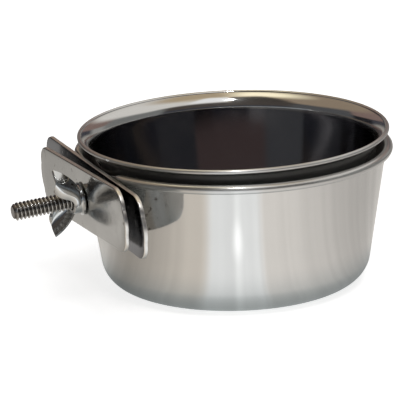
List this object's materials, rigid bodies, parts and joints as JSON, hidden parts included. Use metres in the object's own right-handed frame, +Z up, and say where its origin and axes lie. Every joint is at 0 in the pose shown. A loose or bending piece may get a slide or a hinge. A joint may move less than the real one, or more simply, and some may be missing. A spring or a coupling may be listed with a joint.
{
  "type": "bolt-on bowl",
  "caption": "Stainless steel feeding dish that lifts out of a holder dish, with clamp plates, a threaded bolt and a wing nut to grip cage bars.",
  "frame": {"origin": "middle of the holder dish's flat underside", "axes": "+Z up along the dishes' axis, bolt and clamp on the -X side, plates running along Y"},
  "size_m": [0.1048, 0.0848, 0.0418],
  "materials": {
    "polished_dish": "mirror-polished drawn stainless steel",
    "plate_sheet": "tumbled stainless sheet with bright cut edges",
    "bolt_steel": "rolled thread, bright crests and dark grooves",
    "nut_sheet": "pressed and tumbled stainless sheet"
  },
  "bodies": {
    "holder": {"holder_dish": "polished_dish", "back_plate": "plate_sheet", "clamp_bolt": "bolt_steel"},
    "dish": {"feeding_dish": "polished_dish"},
    "jaw": {"front_plate": "plate_sheet"},
    "nut": {"wing_nut": "nut_sheet"}
  },
  "joints": [
    {"name": "dish_lift", "type": "slide", "parent": "holder", "child": "dish", "axis": [0, 0, 1], "range_m": [0, 0.045]},
    {"name": "jaw_slide", "type": "slide", "parent": "holder", "child": "jaw", "axis": [-0.9976, 0, -0.0698], "range_m": [-0.0018, 0.015]},
    {"name": "nut_turn", "type": "hinge", "parent": "jaw", "child": "nut", "pos_m": [-0.03995, 0, 0.0278], "axis": [-0.9976, 0, -0.0698], "range_deg": [-640, 5130]}
  ],
  "couplings": [
    {"joint": "nut_turn", "follows": "jaw_slide", "rad_per_m": 5938.7}
  ]
}
